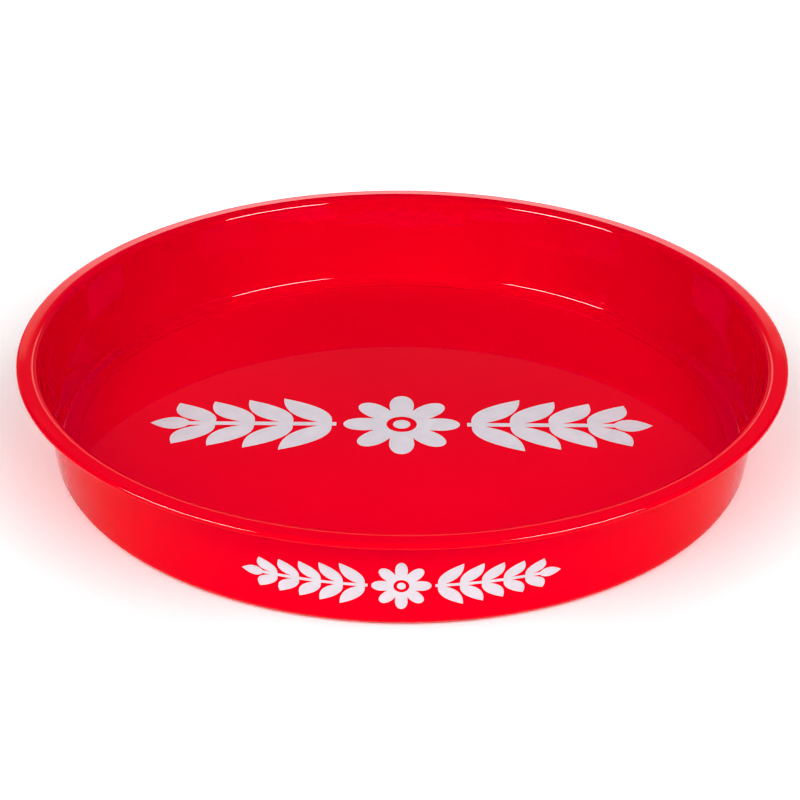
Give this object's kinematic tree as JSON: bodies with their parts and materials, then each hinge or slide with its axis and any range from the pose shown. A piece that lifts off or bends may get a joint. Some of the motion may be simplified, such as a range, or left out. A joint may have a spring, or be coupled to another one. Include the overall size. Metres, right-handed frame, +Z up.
{
  "type": "serving tray",
  "caption": "Round deep serving tray pressed from tinplate, with a flared wall, a flat rim with a curled edge, glossy red lacquer and a white printed ornament.",
  "frame": {"origin": "centre of the tray at the plane of the surface it stands on", "axes": "+Z up, out of the open well; the printed front of the wall faces -Y; +X to the right seen from the front"},
  "size_m": [0.33, 0.33, 0.0449],
  "materials": {
    "red_lacquer": "high-gloss translucent red lacquer baked on tinplate",
    "white_ink": "satin white screen-printing ink"
  },
  "bodies": {
    "root": {"tray_pan": "red_lacquer", "floor_rosette": "white_ink", "floor_rosette_centre": "white_ink", "floor_sprig_right": "white_ink", "floor_sprig_left": "white_ink", "wall_rosette": "white_ink", "wall_rosette_centre": "white_ink", "wall_sprig_right": "white_ink", "wall_sprig_left": "white_ink"}
  },
  "joints": []
}
